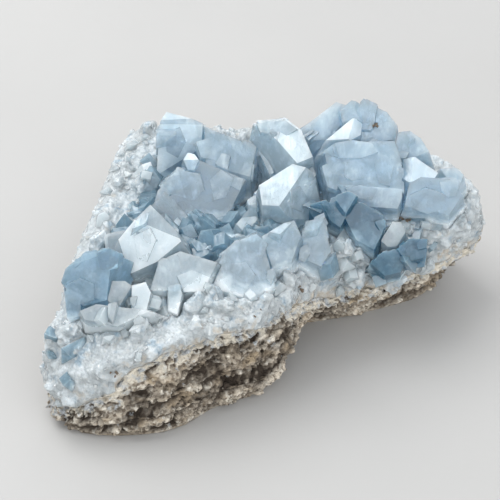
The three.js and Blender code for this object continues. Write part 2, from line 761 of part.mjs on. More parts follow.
const pieces = {
  crystals_rear_left: { crystals: REAR_LEFT, material: skyBlue },
  crystals_left_fan: { crystals: LEFT_FAN, material: frostBlue },
  crystals_left_block: { crystals: LEFT_BLOCK, material: deepBlue },
  crystals_front_cluster: { crystals: FRONT_CLUSTER, material: frostBlue },
  crystal_front_prism: { crystals: FRONT_PRISM, material: skyBlue },
  crystals_centre_front: { crystals: CENTRE_FRONT, material: skyBlue },
  crystals_centre_back: { crystals: CENTRE_BACK, material: skyBlue },
  crystals_right_ridge: { crystals: RIDGE, material: skyBlue },
  crystals_deep_blue: { crystals: DEEP_BLUE, material: deepBlue },
  crystal_pale_rod: { crystals: PALE_ROD, material: frostBlue },
  crystals_wing_dark: { crystals: WING_DARK, material: deepBlue },
};

// The specimen, with its origin at the middle of its reach on the surface it rests on
const specimen = new THREE.Group();
specimen.position.copy(CENTRE_OF_BOX).negate();
function add(name, solid, material) {
  const [largest] = solid.decompose().sort((a, b) => b.volume() - a.volume());
  const mesh = new THREE.Mesh(geometryOf(largest), material);
  mesh.name = name;
  specimen.add(mesh);
}

const rock = matrixRock();
add("matrix_rock", rock, marl);
let taken = swollen(rock, SEAT_GAP);
for (const [name, { crystals, material }] of Object.entries(pieces)) {
  add(name, grownTogether(crystals).subtract(taken), material);
  taken = taken.add(grownTogether(crystals, SEAT_GAP));
}
add("druse_crust", wasm.Manifold.union([crustCap(), ...crustCrystals()]).subtract(taken), crustWhite);

const part = new THREE.Group();
part.add(specimen);

export default part;
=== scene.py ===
"""The looks of a celestite crystal cluster: a slab of marl, its sugary crust and the crystals on it."""

import json
import math

import bmesh
import bpy
import numpy as np
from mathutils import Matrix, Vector, noise
from mathutils.bvhtree import BVHTree

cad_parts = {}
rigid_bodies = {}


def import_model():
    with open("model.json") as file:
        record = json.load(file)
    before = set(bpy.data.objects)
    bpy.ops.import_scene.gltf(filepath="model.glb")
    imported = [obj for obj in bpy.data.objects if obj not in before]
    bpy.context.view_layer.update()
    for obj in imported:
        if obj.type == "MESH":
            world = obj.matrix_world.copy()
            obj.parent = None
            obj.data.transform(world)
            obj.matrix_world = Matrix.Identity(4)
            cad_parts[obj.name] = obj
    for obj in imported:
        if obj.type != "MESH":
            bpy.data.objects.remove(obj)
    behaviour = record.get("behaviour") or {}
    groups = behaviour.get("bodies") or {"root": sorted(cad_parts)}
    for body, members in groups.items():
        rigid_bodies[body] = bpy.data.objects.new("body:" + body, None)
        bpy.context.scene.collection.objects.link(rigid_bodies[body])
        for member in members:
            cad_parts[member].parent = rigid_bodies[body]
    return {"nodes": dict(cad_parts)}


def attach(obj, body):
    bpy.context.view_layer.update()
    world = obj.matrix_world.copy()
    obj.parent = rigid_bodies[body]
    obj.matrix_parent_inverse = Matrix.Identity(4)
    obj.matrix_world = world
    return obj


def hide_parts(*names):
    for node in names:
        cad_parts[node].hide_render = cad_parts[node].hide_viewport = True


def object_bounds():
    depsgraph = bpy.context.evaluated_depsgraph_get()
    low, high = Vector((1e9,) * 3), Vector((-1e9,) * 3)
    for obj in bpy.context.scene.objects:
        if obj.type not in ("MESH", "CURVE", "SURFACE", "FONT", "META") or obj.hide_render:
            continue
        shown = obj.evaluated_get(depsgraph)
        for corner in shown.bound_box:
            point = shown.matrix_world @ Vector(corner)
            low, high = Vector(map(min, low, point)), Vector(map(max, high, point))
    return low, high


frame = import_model()
cad_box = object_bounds()

# The viewpoint
# The specimen is looked down on at 40 degrees from about 0.4 m away, through a long lens, with its long
# side across the view. The camera comes first, because single crystals are set where this view shows them.
MM = 0.001
PHOTO_SIDE = 500
LENS = 130
SENSOR = 36
NEAREST_SEEN = 10 * MM
LOOK_DOWN = math.radians(40)
STAND_BACK = 409 * MM
LOOK_AT = Vector((-3.8, 2.3, 20)) * MM

to_eye = Vector((0, -math.cos(LOOK_DOWN), math.sin(LOOK_DOWN)))
eye = LOOK_AT + STAND_BACK * to_eye
camera_data = bpy.data.cameras.new("specimen_view")
camera_data.lens = LENS
camera_data.sensor_width = SENSOR
camera_data.clip_start = NEAREST_SEEN
camera = bpy.data.objects.new("specimen_view", camera_data)
camera.location = eye
camera.rotation_euler = (math.radians(90) - LOOK_DOWN, 0, 0)
bpy.context.scene.collection.objects.link(camera)
bpy.context.scene.camera = camera


def sight_line(pixel):
    """The direction in which the view sees a pixel of the photograph."""
    across, down = pixel
    middle = PHOTO_SIDE / 2
    step = SENSOR / 2 / LENS / middle
    right = Vector((1, 0, 0))
    up = Vector((0, math.sin(LOOK_DOWN), math.cos(LOOK_DOWN)))
    return (-to_eye + (across - middle) * step * right + (middle - down) * step * up).normalized()


def shell_of(pieces):
    """The surfaces of some pieces, to be hit by rays and measured to."""
    points, faces = [], []
    for piece in pieces:
        first = len(points)
        points.extend(v.co.copy() for v in piece.data.vertices)
        faces.extend([first + i for i in polygon.vertices] for polygon in piece.data.polygons)
    return BVHTree.FromPolygons(points, faces)


solids = frame["nodes"]
whole_shell = shell_of([solids[name] for name in solids])


def seen_at(pixel):
    """The point of the solids that the view shows at a pixel."""
    hit = whole_shell.ray_cast(eye, sight_line(pixel))[0]
    if hit is None:
        raise ValueError(f"the view shows no solid at {pixel}")
    return hit


# The matrix rock
# A broken slab of pale, grey-brown marl in thin beds. Its wall is a rough fracture with ledges, pits and
# coarse grains, and its underside was sawn off flat, so that the specimen rests on the cut. Sizes are in mm.
ROCK_STEP = 0.44
BED = 2.7
CUT_MARGIN = 0.35
OVERHANG = 0.9
SUGAR_REACH = 5


def blank(node, name):
    """A free copy of a node's solid, from which the finished piece is worked."""
    mesh = solids[node].data.copy()
    mesh.materials.clear()
    piece = bpy.data.objects.new(name, mesh)
    bpy.context.scene.collection.objects.link(piece)
    return piece


def settle(piece):
    """Turns what the modifiers make of a piece into its own mesh."""
    seen = piece.evaluated_get(bpy.context.evaluated_depsgraph_get())
    made = bpy.data.meshes.new_from_object(seen)
    made.materials.clear()
    piece.modifiers.clear()
    piece.data = made


def fine_skin(piece, step):
    """Gives a piece an even skin of small faces, one step in mm wide."""
    remesh = piece.modifiers.new("skin", "REMESH")
    remesh.mode = "VOXEL"
    remesh.voxel_size = step * MM
    settle(piece)


def note(piece, name, values, domain="POINT"):
    """Writes down a value for each point or face of a piece, for its finish to read."""
    made = piece.data.attributes.new(name, "FLOAT", domain)
    made.data.foreach_set("value", np.asarray(values, np.float32))


def carve(piece, relief):
    """Moves each point along its normal by what relief gives for it, all in mm, and notes how far."""
    mesh = piece.data
    count = len(mesh.vertices)
    points = np.empty(count * 3, np.float32)
    normals = np.empty(count * 3, np.float32)
    mesh.vertices.foreach_get("co", points)
    mesh.vertex_normals.foreach_get("vector", normals)
    points = points.reshape(-1, 3).astype(float)
    normals = normals.reshape(-1, 3)
    heights = np.empty(count, np.float32)
    for i in range(count):
        heights[i] = relief(Vector(points[i] / MM), Vector(normals[i]))
    points += normals * heights[:, None] * MM
    mesh.vertices.foreach_set("co", points.astype(np.float32).ravel())
    mesh.update()
    note(piece, "relief", heights)


def held_in(piece):
    """Presses back the few points that stand further out of the solids' box than they may."""
    low, high = cad_box
    for vertex in piece.data.vertices:
        for axis in (0, 1):
            vertex.co[axis] = max(vertex.co[axis], low[axis] - OVERHANG * MM)
            vertex.co[axis] = min(vertex.co[axis], high[axis] + OVERHANG * MM)


def broken(p, size):
    """Blunt fragments with creases between them: 0 in a crease, up to 1 on a fragment."""
    near = noise.voronoi(p / size)[0]
    return min(1, 2.2 * (near[1] - near[0]))


def chipped(p, size):
    """Flat faces that lean in all directions, one to a cell about as wide as size, as heights in size."""
    seed = noise.voronoi(p / size)[1][0]
    lean = noise.cell_vector(seed * 37) - Vector((0.5, 0.5, 0.5))
    return lean.dot(p / size - seed) + 0.5 * lean.x


def marl_relief(p, n):
    """How far the fracture stands out: swells, ledges, chunks and crevices in rising beds, and grains."""
    if p.z < CUT_MARGIN:
        return 0
    wall = 1 - 0.6 * abs(n.z)
    waver = 2.4 * noise.noise(Vector((p.x, p.y, 0.4 * p.z)) / 11)
    bed = ((p.z + waver) / BED) % 1
    ledge = 1.3 * (bed - 0.6) * max(0, 0.4 + 2 * noise.noise(p / 6))
    beds = Vector((p.x, p.y, 2.4 * p.z - 0.8 * p.x))
    swells = 1.9 * noise.noise(beds / 8)
    chunks = 0.8 * (broken(beds, 6) - 0.75) + 1.2 * chipped(beds, 4.2) + 0.9 * chipped(beds, 1.9)
    crevice = -1.3 * max(0, 0.16 - abs(noise.noise(beds / 5 + Vector((5, 2, 9))))) / 0.16
    crevice *= max(0, min(1, 0.3 + 3 * noise.noise(p / 9 + Vector((1, 7, 3)))))
    grains = 0.7 * noise.noise(beds / 1.6) + 0.6 * noise.noise(p / 0.8)
    fade = min(1, (p.z - CUT_MARGIN) / 1.2)
    return fade * (wall * (swells + ledge + chunks + crevice) + grains)


class Finish:
    """A material whose pattern lies in the object's own millimetres."""

    def __init__(self, name):
        self.material = bpy.data.materials.new(name)
        self.material.use_nodes = True
        tree = self.material.node_tree
        self.nodes = tree.nodes
        self.links = tree.links
        self.shader = self.nodes["Principled BSDF"]
        self.place = self.nodes.new("ShaderNodeTexCoord").outputs["Object"]

    def node(self, kind, **settings):
        made = self.nodes.new(kind)
        for setting, value in settings.items():
            setattr(made, setting, value)
        return made

    def stretched(self, stretch, turn=(0, 0, 0)):
        """The object's own place, stretched along its axes and turned by degrees."""
        mapping = self.node("ShaderNodeMapping")
        mapping.inputs["Scale"].default_value = stretch
        mapping.inputs["Rotation"].default_value = [math.radians(angle) for angle in turn]
        self.links.new(self.place, mapping.inputs["Vector"])
        return mapping.outputs[0]

    def mottle(self, size, detail, at=None, warp=0.0):
        """Soft patches about as wide as size in mm, from 0 to 1."""
        made = self.node("ShaderNodeTexNoise")
        made.inputs["Scale"].default_value = 1 / (size * MM)
        made.inputs["Detail"].default_value = detail
        made.inputs["Distortion"].default_value = warp
        self.links.new(at or self.place, made.inputs["Vector"])
        return made.outputs["Fac"]

    def cells(self, size):
        """Cells about as wide as size in mm."""
        made = self.node("ShaderNodeTexVoronoi")
        made.inputs["Scale"].default_value = 1 / (size * MM)
        self.links.new(self.place, made.inputs["Vector"])
        return made

    def leaning(self, size):
        """Flat cells about as wide as size in mm, each leaning its own way, as heights in mm."""
        cell = self.cells(size)
        away = self.node("ShaderNodeVectorMath", operation="SUBTRACT")
        self.links.new(self.place, away.inputs[0])
        self.links.new(cell.outputs["Position"], away.inputs[1])
        lean = self.node("ShaderNodeVectorMath", operation="SUBTRACT")
        self.links.new(cell.outputs["Color"], lean.inputs[0])
        lean.inputs[1].default_value = (0.5, 0.5, 0.5)
        height = self.node("ShaderNodeVectorMath", operation="DOT_PRODUCT")
        self.links.new(away.outputs[0], height.inputs[0])
        self.links.new(lean.outputs[0], height.inputs[1])
        return self.reckon("MULTIPLY", height.outputs["Value"], 1 / MM)

    def own(self, name):
        """A value that the mesh itself carries."""
        return self.node("ShaderNodeAttribute", attribute_name=name).outputs["Fac"]

    def level(self, value, low, high, to_low=0.0, to_high=1.0):
        """Spreads the part of a value between low and high over another range."""
        made = self.node("ShaderNodeMapRange")
        self.links.new(value, made.inputs["Value"])
        for socket, number in zip(("From Min", "From Max", "To Min", "To Max"), (low, high, to_low, to_high)):
            made.inputs[socket].default_value = number
        return made.outputs[0]

    def reckon(self, operation, a, b):
        """The outcome of a sum of two values, each a pattern or a number."""
        made = self.node("ShaderNodeMath", operation=operation)
        for socket, value in zip(made.inputs, (a, b)):
            if isinstance(value, (int, float)):
                socket.default_value = value
            else:
                self.links.new(value, socket)
        return made.outputs[0]

    def blend(self, share, a, b):
        """Colour a turning into colour b as share goes from 0 to 1."""
        made = self.node("ShaderNodeMix", data_type="RGBA")
        self.links.new(share, made.inputs["Factor"])
        for socket, colour in zip([s for s in made.inputs if s.type == "RGBA"], (a, b)):
            if isinstance(colour, tuple):
                socket.default_value = (*colour, 1)
            else:
                self.links.new(colour, socket)
        return next(s for s in made.outputs if s.type == "RGBA")

    def rough_up(self, height, depth, strength=1.0):
        """Adds relief of a depth in mm on top of what the normal already has."""
        bump = self.node("ShaderNodeBump")
        bump.inputs["Strength"].default_value = strength
        bump.inputs["Distance"].default_value = depth * MM
        self.links.new(height, bump.inputs["Height"])
        before = self.shader.inputs["Normal"]
        if before.links:
            self.links.new(before.links[0].from_socket, bump.inputs["Normal"])
        self.links.new(bump.outputs[0], before)

    def feed(self, **sockets):
        """Sets the shader's sockets: numbers and colours directly, patterns by a link."""
        for name, value in sockets.items():
            socket = self.shader.inputs[name.replace("_", " ")]
            if isinstance(value, bpy.types.NodeSocket):
                self.links.new(value, socket)
            elif isinstance(value, tuple):
                socket.default_value = (*value, 1) if len(socket.default_value) == 4 else value
            else:
                socket.default_value = value


def marl_finish():
    """Dull and light patches of marl with dark pores, rust stains, grown sugar near the crust and painted
    shade in hollows.
    """
    f = Finish("marl")
    dull, light, fleck = (0.33, 0.28, 0.215), (0.66, 0.59, 0.49), (0.84, 0.79, 0.69)
    pore, crevice, rust = (0.15, 0.12, 0.09), (0.055, 0.043, 0.033), (0.46, 0.37, 0.26)
    cream, blue_grey = (0.72, 0.67, 0.57), (0.50, 0.53, 0.55)
    colour = f.blend(f.level(f.mottle(7, 4), 0.38, 0.62), dull, light)
    colour = f.blend(f.level(f.mottle(1.0, 4), 0.36, 0.52), pore, colour)
    colour = f.blend(f.level(f.mottle(1.6, 3), 0.55, 0.7), colour, fleck)
    colour = f.blend(f.level(f.mottle(6, 3, f.stretched((1, 1, 1.8))), 0.54, 0.7), colour, rust)
    # Painted shade: the lower the carved relief, the nearer the colour comes to the near-black crevice
    # colour.
    colour = f.blend(f.level(f.own("relief"), -1.0, 0.4), crevice, colour)
    sugar = f.reckon("ADD", f.own("crust_near"), f.level(f.mottle(2.2, 5), 0.3, 0.7, -0.6, 0.4))
    grown = f.blend(f.level(f.mottle(1.8, 3), 0.45, 0.6), cream, blue_grey)
    colour = f.blend(f.level(sugar, 0.3, 0.5, 0, 0.9), colour, grown)
    f.feed(Base_Color=colour, Roughness=0.93, Specular_IOR_Level=0.25)
    f.rough_up(f.mottle(0.7, 6), 0.9)
    f.rough_up(f.cells(0.5).outputs["Distance"], 0.25, 0.8)
    return f.material


def note_nearness(piece, name, shell, reach):
    """Gives every point of a piece a value that falls from 1 at a shell to 0 at a reach in mm from it."""
    values = []
    for vertex in piece.data.vertices:
        away = shell.find_nearest(vertex.co, reach * MM)[3]
        values.append(0 if away is None else 1 - away / (reach * MM))
    note(piece, name, values)


crust_shell = shell_of([solids["druse_crust"]])
rock = blank("matrix_rock", "matrix_rock_marl")
fine_skin(rock, ROCK_STEP)
carve(rock, marl_relief)
for vertex in rock.data.vertices:
    vertex.co.z = max(0, vertex.co.z)
held_in(rock)
note_nearness(rock, "crust_near", crust_shell, SUGAR_REACH)
rock.data.shade_smooth()
rock.data.materials.append(marl_finish())
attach(rock, "root")
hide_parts("matrix_rock")

# The druse crust
# A skin of celestite a few millimetres thick over the marl, grown as one: sugary and milky white, in
# lumps where many small crystals have run together.
CRUST_STEP = 0.5
SUGAR_STEP = 0.35
TIPS = 16000
HIDDEN_SHARE = 0.55
MARL_REACH = 3.8
CELESTITE_IOR = 1.62
rock_shell = shell_of([solids["matrix_rock"]])
large_shell = shell_of([solids[name] for name in sorted(solids) if name.startswith("crystal")])


def crust_relief(p, _):
    """How far the crust stands out at a place, whatever its normal."""
    lumps = 0.7 * noise.noise(p / 5) + 0.4 * chipped(p, 3.2) + 0.2 * chipped(p + Vector((3, 8, 5)), 1.4)
    return lumps + 0.12 * noise.noise(p / 0.7)


def crust_finish():
    """Milky celestite sugar: white at the rim, bluer inward, cream where it gives way to the marl."""
    f = Finish("crust_sugar")
    inward, rim, shade = (0.32, 0.42, 0.49), (0.34, 0.37, 0.38), (0.22, 0.30, 0.36)
    milk_white, glint = (0.49, 0.53, 0.55), (0.56, 0.57, 0.55)
    cream, ochre = (0.43, 0.37, 0.29), (0.48, 0.42, 0.33)
    cloud = f.level(f.mottle(3.0, 5), 0.42, 0.60)
    marl = f.reckon("ADD", f.own("marl_near"), f.level(f.mottle(2.2, 4), 0.3, 0.7, -0.7, 0.5))
    colour = f.blend(f.level(f.own("rim"), 0.5, 0.9), inward, rim)
    colour = f.blend(f.reckon("MULTIPLY", cloud, 0.8), colour, milk_white)
    colour = f.blend(f.level(f.mottle(3.4, 4), 0.56, 0.68, 0, 0.8), colour, shade)
    colour = f.blend(f.level(f.mottle(0.8, 3), 0.55, 0.75, 0, 0.6), colour, glint)
    colour = f.blend(f.level(marl, 0.25, 0.8, 0, 0.75), colour, cream)
    colour = f.blend(f.level(f.mottle(4.5, 4), 0.66, 0.78, 0, 0.4), colour, ochre)
    f.feed(Base_Color=colour, Roughness=f.level(cloud, 0, 1, 0.1, 0.3), IOR=CELESTITE_IOR)
    f.feed(Subsurface_Weight=1.0, Subsurface_Scale=2.0 * MM, Subsurface_Radius=(1.0, 1.0, 1.0))
    f.rough_up(f.cells(0.6).outputs["Distance"], 0.25, 0.7)
    f.rough_up(f.mottle(0.35, 3), 0.1, 0.5)
    return f.material


RIM_STEPS = 72
crust_middle = np.array([-6.8, 5.3])


def rim_reach(piece):
    """How far a piece reaches from the crust's middle, in mm, in even steps of direction."""
    points = np.array([v.co[:2] for v in piece.data.vertices]) / MM - crust_middle
    way = np.arctan2(points[:, 1], points[:, 0]) % (2 * math.pi)
    step = (way / (2 * math.pi) * RIM_STEPS).astype(int) % RIM_STEPS
    return np.array([np.linalg.norm(points[step == i], axis=1).max() for i in range(RIM_STEPS)])


def outward_share(p):
    """How far out a place in mm lies between the crust's middle, 0, and its rim, 1."""
    out = np.asarray(p)[:2] - crust_middle
    place = math.atan2(out[1], out[0]) % (2 * math.pi) / (2 * math.pi) * RIM_STEPS
    low = int(place) % RIM_STEPS
    edge = crust_reach[low] + (crust_reach[(low + 1) % RIM_STEPS] - crust_reach[low]) * (place % 1)
    return np.linalg.norm(out) / edge


DOME = math.radians(52)
PRISM = math.radians(38)


def unit_crystal(square):
    """Corners and faces of one crystal, its wedge towards +X, with a half length of about one."""
    wedge = 0.7
    back = -0.9
    ridge = wedge / math.cos(PRISM)
    if square:
        wide, high = 0.55, 0.42
        shoulder = (wedge - wide * math.sin(PRISM)) / math.cos(PRISM)
        corners = [(back, y, z) for y in (-wide, wide) for z in (-high, high)]
        corners += [(shoulder, y, z) for y in (-wide, wide) for z in (-high, high)]
        corners += [(ridge, 0, -high), (ridge, 0, high)]
        faces = [(0, 1, 3, 2), (0, 4, 5, 1), (2, 3, 7, 6), (4, 8, 9, 5), (6, 7, 9, 8)]
        faces += [(0, 2, 6, 8, 4), (1, 5, 9, 7, 3)]
    else:
        wide, high = 0.46 / math.sin(DOME), 0.46 / math.cos(DOME)
        shoulder = (wedge - wide * math.sin(PRISM)) / math.cos(PRISM)
        corners = [(back, -wide, 0), (back, 0, high), (back, wide, 0), (back, 0, -high)]
        corners += [(shoulder, -wide, 0), (ridge, 0, high), (shoulder, wide, 0), (ridge, 0, -high)]
        faces = [(0, 1, 2, 3), (0, 4, 5, 1), (1, 5, 6, 2), (2, 6, 7, 3), (3, 7, 4, 0), (4, 7, 5), (5, 7, 6)]
    return np.array(corners), faces


def mesh_piece(name, points, faces):
    """A piece from points in mm and faces."""
    mesh = bpy.data.meshes.new(name)
    mesh.from_pydata((np.asarray(points) * MM).tolist(), [], faces)
    piece = bpy.data.objects.new(name, mesh)
    bpy.context.scene.collection.objects.link(piece)
    return piece


def crystal_cloud(name, at, axis, spin, size, square):
    """One mesh of many small crystals, each given by its place and axis, a turn about it and its size."""
    axis = axis / np.linalg.norm(axis, axis=1)[:, None]
    helper = np.where(np.abs(axis[:, 2:]) < 0.9, [[0.0, 0.0, 1.0]], [[0.0, 1.0, 0.0]])
    side = np.cross(helper, axis)
    side /= np.linalg.norm(side, axis=1)[:, None]
    other = np.cross(axis, side)
    turn_y = np.cos(spin)[:, None] * side + np.sin(spin)[:, None] * other
    turn_z = np.cross(axis, turn_y)
    points, faces, first = [], [], 0
    for kind in (True, False):
        corners, sides = unit_crystal(kind)
        for i in np.nonzero(square == kind)[0]:
            base = np.stack([axis[i], turn_y[i], turn_z[i]])
            points.append(at[i] + size[i] * corners @ base)
            faces.extend(tuple(first + corner for corner in face) for face in sides)
            first += len(corners)
    return mesh_piece(name, np.concatenate(points), faces)


def spots_on(piece, count, rng):
    """Random places on a piece's surface, evenly spread over its area, with their normals, in mm."""
    mesh = piece.data
    mesh.calc_loop_triangles()
    points = np.empty(len(mesh.vertices) * 3, np.float32)
    mesh.vertices.foreach_get("co", points)
    corners = np.empty(len(mesh.loop_triangles) * 3, np.int32)
    mesh.loop_triangles.foreach_get("vertices", corners)
    a, b, c = points.reshape(-1, 3)[corners.reshape(-1, 3)].transpose(1, 0, 2).astype(float) / MM
    across = np.cross(b - a, c - a)
    area = np.linalg.norm(across, axis=1)
    chosen = rng.choice(len(area), count, p=area / area.sum())
    u, v = rng.random((2, count))
    folded = u + v > 1
    u[folded], v[folded] = 1 - u[folded], 1 - v[folded]
    at = a[chosen] + u[:, None] * (b - a)[chosen] + v[:, None] * (c - a)[chosen]
    return at, across[chosen] / area[chosen][:, None]


def inside(shell, p, margin):
    """Whether a point in mm lies inside a shell, or outside it by less than the margin."""
    near, normal, _, away = shell.find_nearest(Vector(p) * MM)
    return away < margin * MM or (Vector(p) * MM - near).dot(normal) < 0


class Bench:
    """A piece's mesh laid open for work, and put back in the piece when the work is done."""

    def __init__(self, piece):
        self.mesh = piece.data
        self.work = bmesh.new()

    def __enter__(self):
        self.work.from_mesh(self.mesh)
        return self.work

    def __exit__(self, *failure):
        self.work.to_mesh(self.mesh)
        self.work.free()


def with_tips(piece, count, rng):
    """Adds the points of many small crystals to a piece, most of each sunk in."""
    at, normal = spots_on(piece, count, rng)
    free = [not inside(rock_shell, spot, 0.7) and not inside(large_shell, spot, 0) for spot in at]
    at, normal = at[free], normal[free]
    count = len(at)
    size = 0.5 + 1.3 * rng.random(count) ** 4
    axis = normal + rng.normal(0, 0.35, (count, 3))
    where = at - 0.6 * size[:, None] * normal
    tips = crystal_cloud("tips", where, axis, rng.random(count) * math.pi, size, rng.random(count) < 0.6)
    with Bench(piece) as work:
        work.from_mesh(tips.data)
    bpy.data.meshes.remove(tips.data)


def thin_hidden(piece, shells, share):
    """Leaves a share of the faces where a piece lies against others, from 0.8 mm inside it to 2.2 mm out."""
    hidden = []
    for vertex in piece.data.vertices:
        start = vertex.co - 0.8 * MM * vertex.normal
        if any(shell.ray_cast(start, vertex.normal, 3 * MM)[0] is not None for shell in shells):
            hidden.append(vertex.index)
    piece.vertex_groups.new(name="hidden").add(hidden, 1, "REPLACE")
    thin = piece.modifiers.new("thin", "DECIMATE")
    thin.ratio = share
    thin.vertex_group = "hidden"
    settle(piece)


crust = blank("druse_crust", "druse_crust_sugar")
fine_skin(crust, CRUST_STEP)
carve(crust, crust_relief)
with_tips(crust, TIPS, np.random.default_rng(5))
fine_skin(crust, SUGAR_STEP)
thin_hidden(crust, [rock_shell, large_shell], HIDDEN_SHARE)
held_in(crust)
crust_reach = rim_reach(crust)
note(crust, "rim", [outward_share(vertex.co / MM) for vertex in crust.data.vertices])
note_nearness(crust, "marl_near", rock_shell, MARL_REACH)
crust.data.shade_flat()
crust.data.materials.append(crust_finish())
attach(crust, "root")
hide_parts("druse_crust")

# The large crystals
# Celestite in blocky crystals from 5 to 20 mm, grown into one another in groups: watery blue and cloudy
# inside, with stepped faces and fine growth lines. Each group is one piece that stands in the crust.
EDGE = 0.13
MERGE = 0.02
FACET_STEP = 1.6
FOOT = 5
FLAT = math.radians(1)
SHARP = math.radians(14)


def corners_within(normals, distances):
    """The corners of the convex body inside a set of planes. Planes that lie too much alike give none."""
    normals = np.asarray(normals)
    distances = np.asarray(distances)
    count = len(normals)
    threes = np.array([(a, b, c) for a in range(count) for b in range(a) for c in range(b)])
    sets = normals[threes]
    meets = np.abs(np.linalg.det(sets)) > 0.02
    points = np.linalg.solve(sets[meets], distances[threes[meets]][..., None])[..., 0]
    return points[(points @ normals.T < distances + 1e-6).all(1)]


def hull_piece(name, points):
    """A closed convex solid round some points in mm, with whole faces."""
    work = bmesh.new()
    for point in points:
        work.verts.new(Vector(point) * MM)
    bmesh.ops.remove_doubles(work, verts=work.verts, dist=0.01 * MM)
    made = bmesh.ops.convex_hull(work, input=work.verts)
    loose = {v for v in made["geom_interior"] + made["geom_unused"] if isinstance(v, bmesh.types.BMVert)}
    bmesh.ops.delete(work, geom=list(loose), context="VERTS")
    mesh = bpy.data.meshes.new(name)
    work.to_mesh(mesh)
    work.free()
    return bpy.data.objects.new(name, mesh)


def joined_growth(host, extras):
    """Joins many small solids to a host, as one body without inner walls."""
    shelf = bpy.data.collections.new("growing")
    bpy.context.scene.collection.children.link(shelf)
    for piece in extras:
        shelf.objects.link(piece)
    union = host.modifiers.new("grown", "BOOLEAN")
    union.operation = "UNION"
    union.solver = "MANIFOLD"
    union.operand_type = "COLLECTION"
    union.collection = shelf
    settle(host)
    for piece in extras:
        bpy.data.meshes.remove(piece.data)
    bpy.data.collections.remove(shelf)


def clean_facets(piece):
    """Merges what lies in one plane into whole facets, and leaves no loose edge."""
    with Bench(piece) as work:
        bmesh.ops.remove_doubles(work, verts=work.verts, dist=MERGE * MM)
        bmesh.ops.dissolve_limit(work, angle_limit=FLAT, verts=work.verts, edges=work.edges)
        for face in work.faces:
            face.material_index = 0
        loose = [edge for edge in work.edges if not edge.link_faces]
        bmesh.ops.delete(work, geom=loose, context="EDGES")


def worn_edges_with_painted_highlight(piece, width):
    """Takes the sharpness off every edge between two facets; the narrow faces get the second finish, a
    painted highlight.
    """
    with Bench(piece) as work:
        sharp = [e for e in work.edges if len(e.link_faces) == 2 and e.calc_face_angle() > SHARP]
        bmesh.ops.bevel(work, geom=sharp, offset=width * MM, segments=1, profile=0.5, affect="EDGES",
                        clamp_overlap=True, material=1)


def fine_mesh(piece, step):
    """Divides flat faces until no edge is longer than a step in mm, so that points can carry values."""
    with Bench(piece) as work:
        bmesh.ops.triangulate(work, faces=work.faces)
        for _ in range(5):
            long = [e for e in work.edges if e.calc_length() > step * MM]
            if not long:
                break
            bmesh.ops.subdivide_edges(work, edges=long, cuts=1)
            bmesh.ops.triangulate(work, faces=work.faces)


def facet_shades(piece, rng):
    """Gives every facet a shade of its own."""
    note(piece, "shade", rng.random(len(piece.data.polygons)), "FACE")


def seen_on(shell, pixel, behind):
    """Where the view meets a shell, with the normal, or nothing where it lies too far behind the solids."""
    point, normal, _, away = shell.ray_cast(eye, sight_line(pixel))
    if point is None or away > (seen_at(pixel) - eye).length + behind * MM:
        return None, None
    return point, normal


# A pixel that shows a facet, and how white the facet is made: etched, and partly a painted highlight. Below 0
# it is clearer than the rest, which paints it in shade.
FROST_AND_PAINTED_LIGHT = {
    "rear_peak": ((170, 117), 0.35),
    "rear_peak_side": ((178, 126), 0.3),
    "rear_step": ((190, 157), 0.3),
    "white_wedge": ((296, 148), 0.3),
    "tooth": ((278, 182), 0.2),
    "ridge_gable": ((345, 131), 0.4),
    "ridge_gable_side": ((357, 128), 0.3),
    "ridge_roof": ((420, 170), 0.35),
    "fan_top": ((155, 238), 0.5),
    "fan_left": ((135, 250), 0.5),
    "fan_middle": ((146, 247), 0.45),
    "slab": ((196, 282), 0.2),
    "front_white": ((141, 297), 0.5),
    "rear_dark_left": ((160, 200), -0.4),
    "rear_dark_middle": ((172, 212), -0.4),
    "rear_dark_right": ((186, 205), -0.3),
    "wing_middle": ((428, 200), -0.4),
    "wing_left": ((416, 208), -0.4),
    "wing_top": ((440, 190), -0.3),
    "ridge_foot": ((372, 203), 0.2),
}


def frost_and_painted_light_facets(piece):
    """Notes how white each facet is, for all of the plane that the view shows at a listed place, as etching
    with painted highlight and painted shade.
    """
    facets = piece.data.polygons
    values = np.zeros(len(facets), np.float32)
    normals = np.array([facet.normal[:] for facet in facets])
    middles = np.array([facet.center[:] for facet in facets])
    shell = shell_of([piece])
    for pixel, value in FROST_AND_PAINTED_LIGHT.values():
        point, normal = seen_on(shell, pixel, behind=3)
        if point is not None:
            in_plane = np.abs((middles - point) @ np.array(normal)) < 0.1 * MM
            values[in_plane & (normals @ np.array(normal) > 0.998)] = value
    # The frost values hold painted light as well as etching: above 0 partly a painted highlight, below 0
    # painted shade.
    note(piece, "frost", values, "FACE")


LEAST_FACET = 0.8
ONE_WAY = 0.94
MOST_FACES = 7


def facet_list(piece):
    """The upward facets of a piece: normals, middles in mm and areas in square mm."""
    rows = [(p.normal[:], p.center[:], p.area) for p in piece.data.polygons if p.normal.z > -0.15]
    normals, middles, areas = (np.array(column) for column in zip(*rows))
    return normals, middles / MM, areas / MM**2


def nearby_faces(facets, place, reach):
    """The directions of the largest facets round a place, those of one direction taken together."""
    normals, middles, areas = facets
    weight = areas * (np.linalg.norm(middles - place, axis=1) < reach)
    found = []
    for i in np.argsort(-weight)[:24]:
        if weight[i] > LEAST_FACET and all(normals[i] @ other < ONE_WAY for other in found):
            found.append(normals[i])
    return found[:MOST_FACES]


def kin_planes(faces, long, rng):
    """The planes of a kin crystal, those of the facets round it with flanks and a bottom, and their reach."""
    spin = rng.random() * math.pi
    sides = [np.array([math.cos(a), math.sin(a), -0.12]) for a in spin + np.arange(4) * math.pi / 2]
    sides.append(np.array([0, 0, -1.0]))
    planes = np.array(faces + [side / np.linalg.norm(side) for side in sides])
    reaches = [rng.uniform(0.4, 0.8, len(faces)), rng.uniform(0.6, 1.1, 4), [0.7]]
    return planes, long * np.concatenate(reaches)


towards_light = np.array(to_eye) + [0.0, 0.1, 1.0]
shining = towards_light / np.linalg.norm(towards_light)


